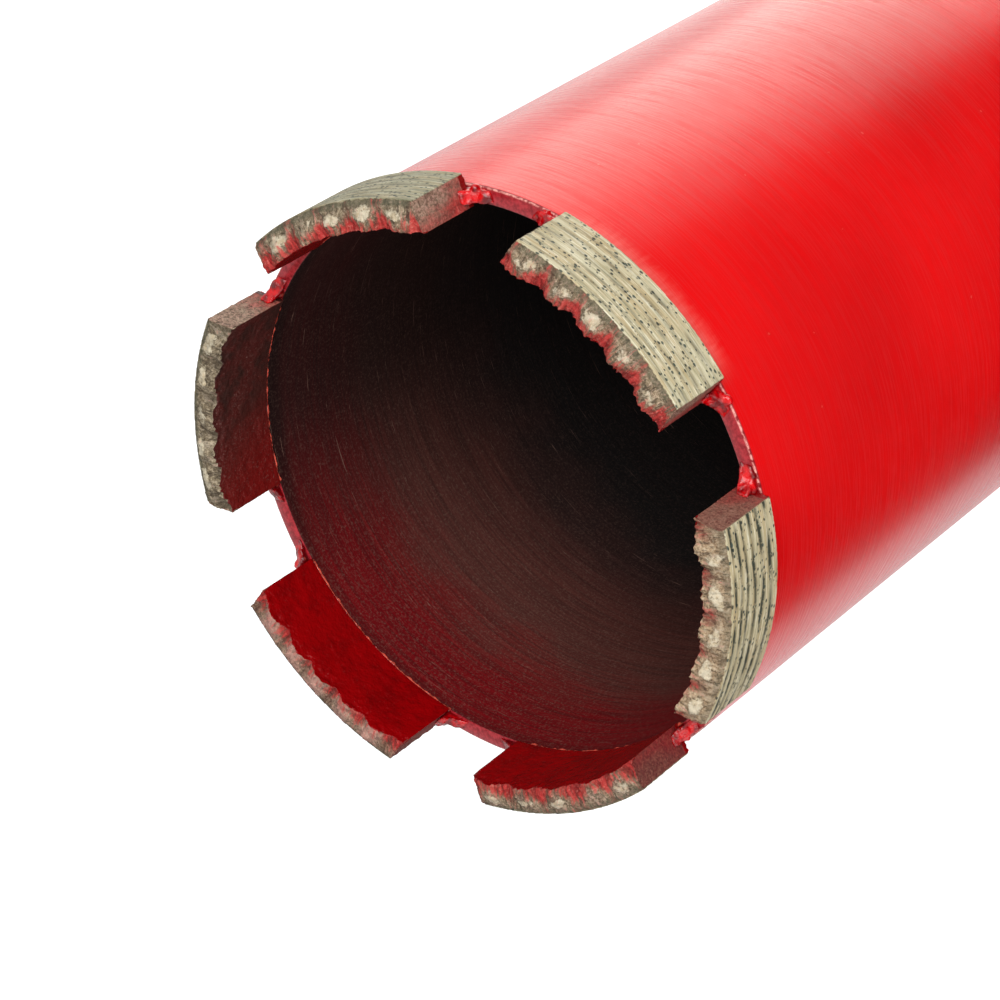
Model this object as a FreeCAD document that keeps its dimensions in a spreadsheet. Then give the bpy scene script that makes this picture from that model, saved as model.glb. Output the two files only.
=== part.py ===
"""Wet diamond core bit: a thin steel barrel with brazed segments and a threaded hub.

Everything is in millimetres. The origin is the centre of the hub's end face, where
the bit seats against the drill spindle, and +Z runs up the axis to the cutting crown.
"""
import FreeCAD, Part
import math
import os

import Sketcher

SHEET = "Sizes"

# Driving sizes: alias, millimetres (or a count), and what the size is.
SIZES = [
    ("bit_diameter", 72.4, "over the outer faces of the segments"),
    ("outer_relief", 1.2, "how far the segments stand out past the barrel"),
    ("inner_relief", 0.3, "how far they stand into the bore"),
    ("barrel_wall", 2, "tube wall"),
    ("barrel_length", 300, "tube, from the plate's flange to the rim"),
    ("rim_bevel", 0.3, "broken edges of the rim"),
    ("segment_count", 6, "segments round the rim"),
    ("segment_length", 24, "straight across, from end face to end face"),
    ("segment_height", 10, "base to the crests of the crown"),
    ("crown_depth", 0.85, "crests to the flat corner level"),
    ("crown_pitch", 4.45, "crest to crest at the middle of the wall"),
    ("crown_edge", 0.35, "worn outer edge of the crown"),
    ("ridge_count", 5, "radial ridges on a crown"),
    ("ridge_land", 0.4, "level top of a ridge, at the middle of the wall"),
    ("ridge_bulge", 0.12, "how far the side of a ridge bulges from a straight one"),
    ("braze_gap", 0.2, "filler between rim and segment"),
    ("bead_set_in", 0.1, "fillets stop this far inside the segment's faces"),
    ("blob_length", 2.6, "end fillet of braze, along the rim"),
    ("blob_height", 2.2, "end fillet of braze, up the segment's end"),
    ("blob_toe", 0.15, "thickness at the thin end of an end fillet"),
    ("blob_clearance", 0.3, "least bare rim from an end fillet to the middle of its gap"),
    ("flange_thickness", 5, "back plate, outside the tube"),
    ("spigot_depth", 6, "back plate, inside the tube"),
    ("spigot_clearance", 0.1, "radial, plate in tube and hub in plate"),
    ("spigot_lead", 1, "lead chamfer of the plate's spigot"),
    ("groove_leg", 1.2, "weld groove, along the tube and the flange"),
    ("weld_crown", 0.35, "how proud the weld beads stand"),
    ("fillet_leg", 4, "weld round the hub"),
    ("across_flats", 41, "hub hexagon"),
    ("hex_height", 32, "hub hexagon, along the axis"),
    ("collar_height", 8, "round root of the hub"),
    ("hub_spigot_wall", 3, "wall of the hub's spigot"),
    ("hex_chamfer", 1.2, "drop of the turned chamfer at the hexagon's corners"),
    ("seat_margin", 0.5, "the seat ends this far inside the hexagon's flats"),
    ("thread_major", 31.75, "female thread, over the roots"),
    ("thread_pitch", 3.629, "seven turns to the inch"),
    ("mouth_land", 0.4, "countersink of the mouth, past the thread's roots"),
]


# Cuts run this far past the solid, in millimetres.
OVERRUN = "1"

# Depth of a 60 degree thread, in pitches.
THREAD_DEPTH = "0.5413"

# An end fillet of braze is hollow: this share of its length from the segment, it has
# only this share of its height.
WAIST_ALONG = "0.35"
WAIST_UP = "0.45"


def size(alias):
    return SHEET + "." + alias


# Sizes that follow from the driving ones, as expressions on the sheet.
SEGMENT_OUTER = "{} / 2".format(size("bit_diameter"))
BARREL_OUTER = "({} - {})".format(SEGMENT_OUTER, size("outer_relief"))
BARREL_INNER = "({} - {})".format(BARREL_OUTER, size("barrel_wall"))
SEGMENT_INNER = "({} - {})".format(BARREL_INNER, size("inner_relief"))
MID_WALL = "(({} + {}) / 2)".format(SEGMENT_OUTER, SEGMENT_INNER)
HALF_LENGTH = "{} / 2".format(size("segment_length"))
LAND_OUTER = "({} - {})".format(BARREL_OUTER, size("rim_bevel"))
LAND_INNER = "({} + {})".format(BARREL_INNER, size("rim_bevel"))
CREST = size("segment_height")
CORNER = "({} - {})".format(CREST, size("crown_depth"))
PITCH_ANGLE = "({} / {} * 180 deg / pi)".format(size("crown_pitch"), MID_WALL)
THREAD_MINOR = "({} / 2 - {} * {})".format(size("thread_major"), THREAD_DEPTH,
                                           size("thread_pitch"))
MOUTH = "({} / 2 + {})".format(size("thread_major"), size("mouth_land"))
HUB_SPIGOT = "({} + {})".format(THREAD_MINOR, size("hub_spigot_wall"))
COLLAR = "{} / 2".format(size("across_flats"))
PLATE_SPIGOT = "({} - {})".format(BARREL_INNER, size("spigot_clearance"))
PLATE_HOLE = "({} + {})".format(HUB_SPIGOT, size("spigot_clearance"))
HUB_TOP = "({} + {})".format(size("hex_height"), size("collar_height"))
BARREL_FOOT = "({} + {})".format(HUB_TOP, size("flange_thickness"))
RIM = "({} + {})".format(BARREL_FOOT, size("barrel_length"))
SEGMENT_FOOT = "({} + {})".format(RIM, size("braze_gap"))
PAST_CREST = "{} + {}".format(CREST, OVERRUN)
PAST_OUTER = "({} + {})".format(SEGMENT_OUTER, OVERRUN)

doc = FreeCAD.newDocument("core_bit")


def make_sheet():
    """The spreadsheet that holds every driving size under its alias."""
    sheet = doc.addObject("Spreadsheet::Sheet", SHEET)
    for row, (alias, value, note) in enumerate(SIZES, start=1):
        sheet.set("A{}".format(row), alias)
        sheet.set("B{}".format(row), str(value))
        sheet.set("C{}".format(row), note)
        sheet.setAlias("B{}".format(row), alias)
    doc.recompute()
    return sheet


sheet = make_sheet()


def value(expression):
    """What an expression on the sheet comes to, in millimetres or degrees."""
    result = sheet.evalExpression(expression)
    return float(getattr(result, "Value", result))


def origin_feature(body, role):
    return next(f for f in body.Origin.OriginFeatures if f.Role == role)


def new_body(name, height=None, turn=None):
    """A body, lifted up the axis and turned about it by expressions."""
    body = doc.addObject("PartDesign::Body", name)
    body.Label = name
    if height:
        body.setExpression("Placement.Base.z", height)
    if turn:
        body.setExpression("Placement.Rotation.Angle", turn)
    return body


def new_sketch(body, name, role="XZ_Plane"):
    sketch = body.newObject("Sketcher::SketchObject", name)
    sketch.AttachmentSupport = [(origin_feature(body, role), "")]
    sketch.MapMode = "FlatFace"
    return sketch


def dimension(sketch, kind, expression, *where):
    """A driven dimension: its first guess and its expression agree."""
    index = sketch.addConstraint(Sketcher.Constraint(kind, *where, value(expression)))
    label = "size_{}".format(index)
    sketch.renameConstraint(index, label)
    sketch.setExpression("Constraints." + label, expression)


def arc_between(start, end, radius, side):
    """The shorter arc from start to end; side +1 puts its centre on the left."""
    chord = end - start
    reach = math.sqrt(max(radius ** 2 - (chord.Length / 2) ** 2, 0))
    left = FreeCAD.Vector(-chord.y, chord.x, 0).normalize()
    centre = (start + end) * 0.5 + left * (side * reach)
    first = math.atan2(start.y - centre.y, start.x - centre.x)
    last = math.atan2(end.y - centre.y, end.x - centre.x)
    circle = Part.Circle(centre, FreeCAD.Vector(0, 0, 1), radius)
    if side > 0:
        return Part.ArcOfCircle(circle, first, last), 1, 2
    return Part.ArcOfCircle(circle, last, first), 2, 1


def outline(sketch, corners, arcs=None):
    """A closed outline through corners given as pairs of expressions.

    arcs maps an edge's number to (radius expression, side of its centre).
    """
    arcs = arcs or {}
    base = sketch.GeometryCount
    points = [FreeCAD.Vector(value(x), value(y), 0) for x, y in corners]
    ends = []
    for i, start in enumerate(points):
        end = points[(i + 1) % len(points)]
        if i in arcs:
            edge, first, last = arc_between(start, end, value(arcs[i][0]), arcs[i][1])
        else:
            edge, first, last = Part.LineSegment(start, end), 1, 2
        sketch.addGeometry(edge, False)
        ends.append((first, last))
    for i, (first, last) in enumerate(ends):
        following = (i + 1) % len(points)
        sketch.addConstraint(Sketcher.Constraint(
            "Coincident", base + i, last, base + following, ends[following][0]))
    for i, (x, y) in enumerate(corners):
        dimension(sketch, "DistanceX", x, base + i, ends[i][0])
        dimension(sketch, "DistanceY", y, base + i, ends[i][0])
    for i, (radius, side) in arcs.items():
        dimension(sketch, "Radius", radius, base + i)


def ring_sector(sketch, inner, outer, half_width):
    """A stretch of a ring about the origin, cut off square: its ends are parallel."""
    reach = value(half_width)
    radii = (value(outer), value(inner))
    angles = [math.asin(reach / r) for r in radii]
    for r, a in zip(radii, angles):
        circle = Part.Circle(FreeCAD.Vector(0, 0, 0), FreeCAD.Vector(0, 0, 1), r)
        sketch.addGeometry(Part.ArcOfCircle(circle, -a, a), False)
    for sign in (1, -1):
        corner = [FreeCAD.Vector(r * math.cos(a), sign * reach, 0) for r, a in zip(radii, angles)]
        sketch.addGeometry(Part.LineSegment(corner[0], corner[1]), False)
    for arc in (0, 1):
        sketch.addConstraint(Sketcher.Constraint("Coincident", arc, 3, -1, 1))
        sketch.addConstraint(Sketcher.Constraint("Coincident", arc, 2, 2, arc + 1))
        sketch.addConstraint(Sketcher.Constraint("Coincident", arc, 1, 3, arc + 1))
    for line in (2, 3):
        sketch.addConstraint(Sketcher.Constraint("Horizontal", line))
    dimension(sketch, "Radius", outer, 0)
    dimension(sketch, "Radius", inner, 1)
    dimension(sketch, "DistanceY", half_width, 2, 1)
    dimension(sketch, "DistanceY", "-" + half_width, 3, 1)


def pad(body, name, sketch, length):
    feature = body.newObject("PartDesign::Pad", name)
    feature.Profile = sketch
    feature.setExpression("Length", length)
    return feature


def turned(body, name, sketch, kind="PartDesign::Revolution", angle=None):
    """The sketch turned about the body's own Z axis, all round or by an angle."""
    feature = body.newObject(kind, name)
    feature.Profile = sketch
    feature.ReferenceAxis = (sketch, ["V_Axis"])
    feature.Angle = 360
    if angle:
        feature.Midplane = True
        feature.setExpression("Angle", angle)
    return feature


def make_barrel():
    """The drill tube, bevelled at the rim and grooved at its foot for the weld."""
    body = new_body("barrel", BARREL_FOOT)
    section = new_sketch(body, "barrel_section")
    leg = size("groove_leg")
    bevel = size("rim_bevel")
    top = size("barrel_length")
    outline(section, [
        (BARREL_INNER, "0"),
        ("{} - {}".format(BARREL_OUTER, leg), "0"),
        (BARREL_OUTER, leg),
        (BARREL_OUTER, "{} - {}".format(top, bevel)),
        (LAND_OUTER, top),
        (LAND_INNER, top),
        (BARREL_INNER, "{} - {}".format(top, bevel)),
    ])
    turned(body, "barrel_tube", section)
    return body


def make_segment(number, turn):
    """One sintered segment: parallel end faces and a ridged crown.

    The crown's top is a cone that falls to the outer face. Sharp valleys between rounded
    ridges run in from the bore side at a level depth, so its inner edge is scalloped and
    its outer edge is straight.
    """
    body = new_body("segment_{}".format(number), SEGMENT_FOOT, turn)
    plan = new_sketch(body, "plan_{}".format(number), "XY_Plane")
    ring_sector(plan, SEGMENT_INNER, SEGMENT_OUTER, HALF_LENGTH)
    pad(body, "block_{}".format(number), plan, CREST)

    slope = new_sketch(body, "slope_{}".format(number))
    edge = size("crown_edge")
    outline(slope, [
        (SEGMENT_INNER, CREST),
        ("{} - {}".format(SEGMENT_OUTER, edge), CORNER),
        (PAST_OUTER, "{} - {} - {}".format(CORNER, OVERRUN, edge)),
        (PAST_OUTER, PAST_CREST),
        (SEGMENT_INNER, PAST_CREST),
    ])
    turned(body, "cone_{}".format(number), slope, "PartDesign::Groove")

    valley = new_sketch(body, "valley_{}".format(number), "YZ_Plane")
    valley.AttachmentOffset = FreeCAD.Placement(
        FreeCAD.Vector(0, 0, 0), FreeCAD.Rotation(FreeCAD.Vector(0, 1, 0), 1))
    valley.setExpression("AttachmentOffset.Rotation.Angle",
                         "-{} / 2 * {}".format(PITCH_ANGLE, size("ridge_count")))
    run = "(({} - {}) / 2)".format(size("crown_pitch"), size("ridge_land"))
    slant = "({0} * {0} + {1} * {1})".format(run, size("crown_depth"))
    bend = "(({0} / 4 + {1} * {1}) / (2 * {1}))".format(slant, size("ridge_bulge"))
    outline(valley, [
        ("-1 * " + run, CREST),
        ("0", CORNER),
        (run, CREST),
        (run, PAST_CREST),
        ("-1 * " + run, PAST_CREST),
    ], {0: (bend, -1), 1: (bend, -1)})
    cut = body.newObject("PartDesign::Pocket", "valley_cut_{}".format(number))
    cut.Profile = valley
    cut.Reversed = True
    cut.setExpression("Length", PAST_OUTER)
    doc.recompute()
    pattern = body.newObject("PartDesign::PolarPattern", "valleys_{}".format(number))
    pattern.Originals = [cut]
    pattern.Axis = (origin_feature(body, "Z_Axis"), [""])
    pattern.setExpression("Angle", "{} * {}".format(PITCH_ANGLE, size("ridge_count")))
    pattern.setExpression("Occurrences", "{} + 1".format(size("ridge_count")))
    body.Tip = pattern

    lands = new_sketch(body, "lands_{}".format(number), "YZ_Plane")
    reach = "({} + {})".format(HALF_LENGTH, OVERRUN)
    last = "({} * sin({} * {} / 2))".format(MID_WALL, PITCH_ANGLE, size("ridge_count"))
    for sign in ("", "-1 * "):
        outline(lands, [
            (sign + last, CORNER),
            (sign + reach, CORNER),
            (sign + reach, PAST_CREST),
            (sign + last, PAST_CREST),
        ])
    flats = body.newObject("PartDesign::Pocket", "lands_cut_{}".format(number))
    flats.Profile = lands
    flats.Reversed = True
    flats.setExpression("Length", PAST_OUTER)
    return body


def end_fillet_section(body, name, distance, height):
    """A cross-section of an end fillet, parallel to the segment's end face."""
    sketch = new_sketch(body, name)
    sketch.AttachmentOffset = FreeCAD.Placement(FreeCAD.Vector(0, 0, 1), FreeCAD.Rotation())
    sketch.setExpression("AttachmentOffset.Base.z", "-({})".format(distance))
    across = "sqrt({0} * {0} - ({1}) * ({1}))"
    inner = across.format(LAND_INNER, distance)
    outer = across.format(LAND_OUTER, distance)
    outline(sketch, [(inner, "0"), (outer, "0"), (outer, height), (inner, height)])
    return sketch


def make_braze(number, turn):
    """The braze under one segment: a thin layer, two long fillets and two end fillets."""
    body = new_body("braze_joint_{}".format(number), RIM, turn)
    gap = size("braze_gap")
    plan = new_sketch(body, "layer_plan_{}".format(number), "XY_Plane")
    ring_sector(plan, LAND_INNER, LAND_OUTER, HALF_LENGTH)
    pad(body, "layer_{}".format(number), plan, gap)

    bevel = size("rim_bevel")
    tip = "{} - {}".format(SEGMENT_OUTER, size("bead_set_in"))
    bead = new_sketch(body, "bead_section_{}".format(number))
    outline(bead, [
        (LAND_OUTER, "0"),
        (BARREL_OUTER, "-" + bevel),
        (tip, gap),
        (LAND_OUTER, gap),
    ])
    turned(body, "bead_{}".format(number), bead,
           angle="2 * asin({} / ({}))".format(HALF_LENGTH, SEGMENT_OUTER))

    root_tip = "{} + {}".format(SEGMENT_INNER, size("bead_set_in"))
    root = new_sketch(body, "root_section_{}".format(number))
    outline(root, [
        (LAND_INNER, "0"),
        (BARREL_INNER, "-" + bevel),
        (root_tip, gap),
        (LAND_INNER, gap),
    ])
    turned(body, "root_{}".format(number), root,
           angle="2 * asin({} / {})".format(HALF_LENGTH, BARREL_INNER))

    # Where segments stand close, the end fillets stop short of the middle of the gap.
    half_gap = "({} * sin(180 deg / {}) - {})".format(LAND_INNER, size("segment_count"),
                                                     HALF_LENGTH)
    foot = "min({}; {} - {})".format(size("blob_length"), half_gap, size("blob_clearance"))
    waist = "{} + {} * {}".format(HALF_LENGTH, foot, WAIST_ALONG)
    stations = [
        (HALF_LENGTH, size("blob_height")),
        (waist, "{} * {}".format(size("blob_height"), WAIST_UP)),
        ("{} + {}".format(HALF_LENGTH, foot), size("blob_toe")),
    ]
    sections = [end_fillet_section(body, "blob_{}_{}".format(number, i), *station)
                for i, station in enumerate(stations)]
    doc.recompute()
    blob = body.newObject("PartDesign::AdditiveLoft", "blob_{}".format(number))
    blob.Profile = sections[0]
    blob.Sections = sections[1:]
    blob.Ruled = True
    mirrored = body.newObject("PartDesign::Mirrored", "blobs_{}".format(number))
    mirrored.Originals = [blob]
    mirrored.MirrorPlane = (origin_feature(body, "XZ_Plane"), [""])
    body.Tip = mirrored
    return body


def make_back_plate():
    """The turned plate that closes the tube: a flange and a spigot inside the tube."""
    body = new_body("back_plate", HUB_TOP)
    section = new_sketch(body, "plate_section")
    flange = size("flange_thickness")
    leg = size("groove_leg")
    lead = size("spigot_lead")
    top = "({} + {})".format(flange, size("spigot_depth"))
    outline(section, [
        (PLATE_HOLE, "0"),
        (BARREL_OUTER, "0"),
        (BARREL_OUTER, "{} - {}".format(flange, leg)),
        ("{} - {}".format(BARREL_OUTER, leg), flange),
        (PLATE_SPIGOT, flange),
        (PLATE_SPIGOT, "{} - {}".format(top, lead)),
        ("{} - {}".format(PLATE_SPIGOT, lead), top),
        (PLATE_HOLE, top),
    ])
    turned(body, "plate_turning", section)
    return body


def make_hub():
    """The hub: a hexagon for the wrench, a round root and a spigot through the plate."""
    body = new_body("hub")
    plan = new_sketch(body, "hex_plan", "XY_Plane")
    corners = []
    for k in range(6):
        angle = "({} deg)".format(60 * k + 30)
        reach = "({} / 2 / cos(30 deg))".format(size("across_flats"))
        corners.append(("{} * cos{}".format(reach, angle), "{} * sin{}".format(reach, angle)))
    outline(plan, corners)
    pad(body, "hexagon", plan, size("hex_height"))

    root = new_sketch(body, "root_section")
    spigot_top = "({} + {} + {})".format(HUB_TOP, size("flange_thickness"), size("spigot_depth"))
    outline(root, [
        (THREAD_MINOR, size("hex_height")),
        (COLLAR, size("hex_height")),
        (COLLAR, HUB_TOP),
        (HUB_SPIGOT, HUB_TOP),
        (HUB_SPIGOT, spigot_top),
        (THREAD_MINOR, spigot_top),
    ])
    turned(body, "root_turning", root)

    # A 30 degree cone takes the hexagon's corners off at both ends.
    chamfer = new_sketch(body, "chamfer_section")
    inner = "({} - {})".format(COLLAR, size("seat_margin"))
    outer = "({} / cos(30 deg) + {})".format(COLLAR, OVERRUN)
    reach = "({} / cos(30 deg) - {})".format(COLLAR, inner)
    fall = "({} * (({} - {}) / {}))".format(size("hex_chamfer"), outer, inner, reach)
    top = size("hex_height")
    below = "-" + OVERRUN
    outline(chamfer, [(inner, "0"), (outer, fall), (outer, below), (inner, below)])
    turned(body, "corners_below", chamfer, "PartDesign::Groove")
    upper = new_sketch(body, "upper_chamfer_section")
    outline(upper, [
        (COLLAR, top),
        (outer, "{} - {}".format(top, fall)),
        (outer, "{} + {}".format(top, OVERRUN)),
        (COLLAR, "{} + {}".format(top, OVERRUN)),
    ])
    turned(body, "corners_above", upper, "PartDesign::Groove")

    # The bore is at the thread's crests, with a countersunk mouth past its roots.
    bore = new_sketch(body, "bore_section")
    above = "{} + {}".format(spigot_top, OVERRUN)
    outline(bore, [
        ("0", below),
        ("{} + {}".format(MOUTH, OVERRUN), below),
        (THREAD_MINOR, "{} - {}".format(MOUTH, THREAD_MINOR)),
        (THREAD_MINOR, above),
        ("0", above),
    ])
    turned(body, "bore", bore, "PartDesign::Groove")
    return body


def make_barrel_weld():
    """The ring weld that fills the groove between the tube and the plate's flange."""
    body = new_body("barrel_weld", BARREL_FOOT)
    section = new_sketch(body, "barrel_weld_section")
    leg = size("groove_leg")
    proud = "{} + {}".format(BARREL_OUTER, size("weld_crown"))
    outline(section, [
        (BARREL_OUTER, "-" + leg),
        (proud, "0"),
        (BARREL_OUTER, leg),
        ("{} - {}".format(BARREL_OUTER, leg), "0"),
    ])
    turned(body, "barrel_weld_ring", section)
    return body


def make_hub_weld():
    """The fillet weld in the corner between the hub's root and the plate."""
    body = new_body("hub_weld", HUB_TOP)
    section = new_sketch(body, "hub_weld_section")
    leg = size("fillet_leg")
    middle = "{} / 2 + {} * sqrt(2) / 2".format(leg, size("weld_crown"))
    outline(section, [
        (COLLAR, "-" + leg),
        ("{} + {}".format(COLLAR, middle), "-1 * ({})".format(middle)),
        ("{} + {}".format(COLLAR, leg), "0"),
        (COLLAR, "0"),
    ])
    turned(body, "hub_weld_ring", section)
    return body


def build():
    """Every piece of the bit, from the hub up."""
    pieces = [make_hub(), make_back_plate(), make_hub_weld(), make_barrel(), make_barrel_weld()]
    count = int(value(size("segment_count")))
    for i in range(count):
        turn = "{} * 360 / {}".format(i, size("segment_count"))
        pieces.append(make_segment(i + 1, turn))
        pieces.append(make_braze(i + 1, turn))
    doc.recompute()
    return pieces


def check(pieces):
    """Stop if any feature failed or any piece isn't one sound solid."""
    for item in doc.Objects:
        if "Invalid" in item.State or "Error" in item.State:
            raise RuntimeError("{} failed: {}".format(item.Name, item.State))
    for piece in pieces:
        shape = piece.Shape
        if shape.isNull() or not shape.isValid() or len(shape.Solids) != 1:
            raise RuntimeError("{} is not one valid solid".format(piece.Label))


def export(pieces):
    os.makedirs("parts", exist_ok=True)
    for piece in pieces:
        piece.Shape.exportStep("parts/{}.step".format(piece.Label))


pieces = build()
check(pieces)
export(pieces)
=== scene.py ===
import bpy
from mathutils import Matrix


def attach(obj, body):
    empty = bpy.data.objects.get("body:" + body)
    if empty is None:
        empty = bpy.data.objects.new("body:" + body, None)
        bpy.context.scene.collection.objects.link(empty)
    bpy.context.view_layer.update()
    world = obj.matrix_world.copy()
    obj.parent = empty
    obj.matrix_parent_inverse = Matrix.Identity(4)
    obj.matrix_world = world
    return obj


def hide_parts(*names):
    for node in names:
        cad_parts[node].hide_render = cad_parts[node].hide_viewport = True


bl_info = {
    "name": "Diamond Core Bit",
    "version": (1, 0, 0),
    "blender": (4, 5, 0),
    "location": "3D Viewport > Sidebar > Core Bit",
    "description": "Dresses a wet diamond core bit: barrel, segments, braze, back plate, hub and stage",
    "category": "Object",
}

import math
from types import SimpleNamespace

import bpy
import numpy as np
from bpy.props import FloatProperty, FloatVectorProperty, IntProperty, PointerProperty
from bpy.types import Operator, Panel, PropertyGroup

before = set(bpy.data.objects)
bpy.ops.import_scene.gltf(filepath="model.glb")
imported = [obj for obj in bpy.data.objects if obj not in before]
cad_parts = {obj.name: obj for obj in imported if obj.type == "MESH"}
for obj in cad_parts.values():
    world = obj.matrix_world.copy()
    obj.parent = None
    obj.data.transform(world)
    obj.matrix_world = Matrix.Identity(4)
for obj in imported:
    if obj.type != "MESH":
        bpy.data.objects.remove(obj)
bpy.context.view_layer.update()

MM = 0.001
SEED = 41


def linear(red, green, blue):
    """An 8-bit display colour as the linear values that colour sockets hold."""
    values = []
    for channel in (red, green, blue):
        share = channel / 255
        values.append(share / 12.92 if share <= 0.04045 else ((share + 0.055) / 1.055) ** 2.4)
    return tuple(values)


def length(label, note, millimetres):
    return FloatProperty(name=label, description=note, default=millimetres * MM,
                         min=0.0, unit="LENGTH", precision=5)


def colour(label, note, red, green, blue):
    return FloatVectorProperty(name=label, description=note, default=linear(red, green, blue),
                               size=3, min=0.0, max=1.0, subtype="COLOR")


# settings

class BarrelSettings(PropertyGroup):
    """Sizes and colours of the tube"""
    outer_radius: length("Outer radius", "Radius of the tube outside", 35.0)
    inner_radius: length("Inner radius", "Radius of the bore", 33.0)
    foot: length("Foot", "Height of the tube's welded end", 45.0)
    rim: length("Rim", "Height of the tube's open end", 345.0)
    rim_bevel: length("Rim bevel", "Broken edge of the rim", 0.3)
    groove_leg: length("Weld groove", "Chamfer for the ring weld", 1.2)
    facets: IntProperty(name="Facets", description="Steps round the axis", default=256, min=32)
    paint: colour("Paint", "Gloss paint on the tube", 232, 2, 6)
    deep_paint: colour("Deep paint", "Paint where the film is thick", 202, 0, 5)
    bore_paint: colour("Bore overspray", "Thin paint just inside the rim", 118, 10, 18)
    bore_dust: colour("Bore dust", "Dusty steel behind the overspray", 92, 50, 44)
    bore_steel: colour("Bore steel", "Oxidised steel deep in the bore", 34, 32, 32)


class PlateSettings(PropertyGroup):
    """Sizes of the back plate, which takes its outside from the tube"""
    underside: length("Underside", "Height of the plate's lower face", 40.0)
    spigot_end: length("Spigot end", "Height of the end inside the tube", 51.0)
    spigot_clearance: length("Clearance", "Gap between spigot and tube", 0.1)
    spigot_lead: length("Lead", "Chamfer that guides the spigot", 1.0)
    hub_hole: length("Hub hole", "Radius of the hole for the hub", 17.05)
    hole_edge: length("Hole edge", "Broken edges of that hole", 0.3)
    corner: length("Corner", "Radius of the outer corner", 1.0)
    facets: IntProperty(name="Facets", description="Steps round the axis", default=192, min=32)


class SegmentSettings(PropertyGroup):
    """Sizes and colours of the segments"""
    outer_radius: length("Outer radius", "Radius over the segments", 36.2)
    inner_radius: length("Inner radius", "Radius inside the segments", 32.7)
    half_length: length("Half length", "Middle to end face", 12.0)
    foot: length("Foot", "Height of the brazed face", 345.2)
    height: length("Height", "Brazed face to the crests", 10.0)
    crown_depth: length("Crown depth", "Crests to the corner level", 0.85)
    crown_pitch: length("Crown pitch", "Crest to crest", 4.45)
    voxel: length("Detail", "Edge length of the mesh", 0.15)
    bond: colour("Bond", "Sandy sintered bond", 184, 154, 120)
    dark_bond: colour("Dark bond", "Bond where it is oily or burnt", 98, 92, 74)
    ground: colour("Ground bond", "Outer face, ground bright", 204, 198, 168)
    tan: colour("Tan bond", "Warmer streaks of the ground face", 188, 166, 124)
    crest: colour("Worn crest", "Bright patches on the crests", 214, 203, 178)
    pink: colour("Pink dust", "Thin pale paint dust on the bond", 200, 146, 136)
    grit: colour("Grit", "Diamond grit and its sockets", 62, 74, 66)
    overspray: colour("Overspray", "Red paint dusted on the bond", 186, 44, 44)
    film: colour("Paint film", "Wet paint on the inner faces", 150, 0, 5)


class BrazeSettings(PropertyGroup):
    """Detail and colours of the braze"""
    voxel: length("Detail", "Edge length of the mesh", 0.15)
    paint: colour("Paint", "Wet paint over the braze", 212, 0, 8)
    deep_paint: colour("Deep paint", "Paint in the hollows", 104, 0, 4)


class HubSettings(PropertyGroup):
    """Thread, edges and colours of the hub"""
    thread_major: length("Thread major radius", "To the roots of the female thread", 15.875)
    thread_minor: length("Thread minor radius", "To its crests", 13.93)
    thread_pitch: length("Thread pitch", "Crest to crest", 3.629)
    root_flat: length("Root flat", "How far short of the major radius the cut stops", 0.2)
    top: length("Top", "Height of the spigot's end", 51.0)
    edge: length("Edge", "Broken edges of the forging", 0.35)
    steel: colour("Steel", "Bare machined steel", 150, 148, 145)
    paint: colour("Paint", "Gloss paint on the hub", 205, 0, 8)


class StageSettings(PropertyGroup):
    """Floor, lights and surroundings"""
    floor: colour("Floor", "Plain pale floor", 240, 240, 240)
    key: FloatProperty(name="Key light", description="Power of the main soft box", default=4.6,
                       min=0.0, unit="POWER")
    fill: FloatProperty(name="Fill light", description="Power of the fill", default=1.6,
                        min=0.0, unit="POWER")
    card: FloatProperty(name="Pale card", description="Power of the card that the paint reflects",
                        default=0.79, min=0.0, unit="POWER")
    ambient: FloatProperty(name="Ambient", description="Strength of the plain surroundings",
                           default=0.4, min=0.0)


# modelling helpers

def settle():
    """Object mode, nothing selected."""
    if bpy.context.object and bpy.context.object.mode != "OBJECT":
        bpy.ops.object.mode_set(mode="OBJECT")
    bpy.ops.object.select_all(action="DESELECT")


def take(piece, *others):
    """Select the piece, with any others, and make it the active one."""
    settle()
    for each in (piece,) + others:
        each.select_set(True)
    bpy.context.view_layer.objects.active = piece


def edit(piece):
    """Open a piece in edit mode with all of it selected."""
    take(piece)
    bpy.ops.object.mode_set(mode="EDIT")
    bpy.ops.mesh.select_all(action="SELECT")


def fix_place(piece):
    """Put the piece's place, turn and size into its mesh."""
    take(piece)
    bpy.ops.object.transform_apply(location=True, rotation=True, scale=True)


def drawn(name, points, closed=True):
    """An outline in the XZ plane, drawn vertex by vertex; left in edit mode."""
    settle()
    bpy.ops.mesh.primitive_plane_add(size=MM)
    piece = bpy.context.object
    piece.name = piece.data.name = name
    bpy.ops.object.mode_set(mode="EDIT")
    bpy.ops.mesh.select_all(action="SELECT")
    bpy.ops.mesh.merge(type="CENTER")
    bpy.ops.transform.translate(value=(points[0][0], 0, points[0][1]))
    ring = points + points[:1] if closed else points
    for (x0, z0), (x1, z1) in zip(ring, ring[1:]):
        bpy.ops.mesh.extrude_vertices_move(
            TRANSFORM_OT_translate={"value": (x1 - x0, 0, z1 - z0)})
    bpy.ops.mesh.select_all(action="SELECT")
    bpy.ops.mesh.remove_doubles(threshold=1e-6)
    return piece


def close_shell():
    """Merge doubles and turn every face outwards, in edit mode, then leave it."""
    bpy.ops.mesh.select_all(action="SELECT")
    bpy.ops.mesh.remove_doubles(threshold=1e-6)
    bpy.ops.mesh.normals_make_consistent(inside=False)
    bpy.ops.object.mode_set(mode="OBJECT")


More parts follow.
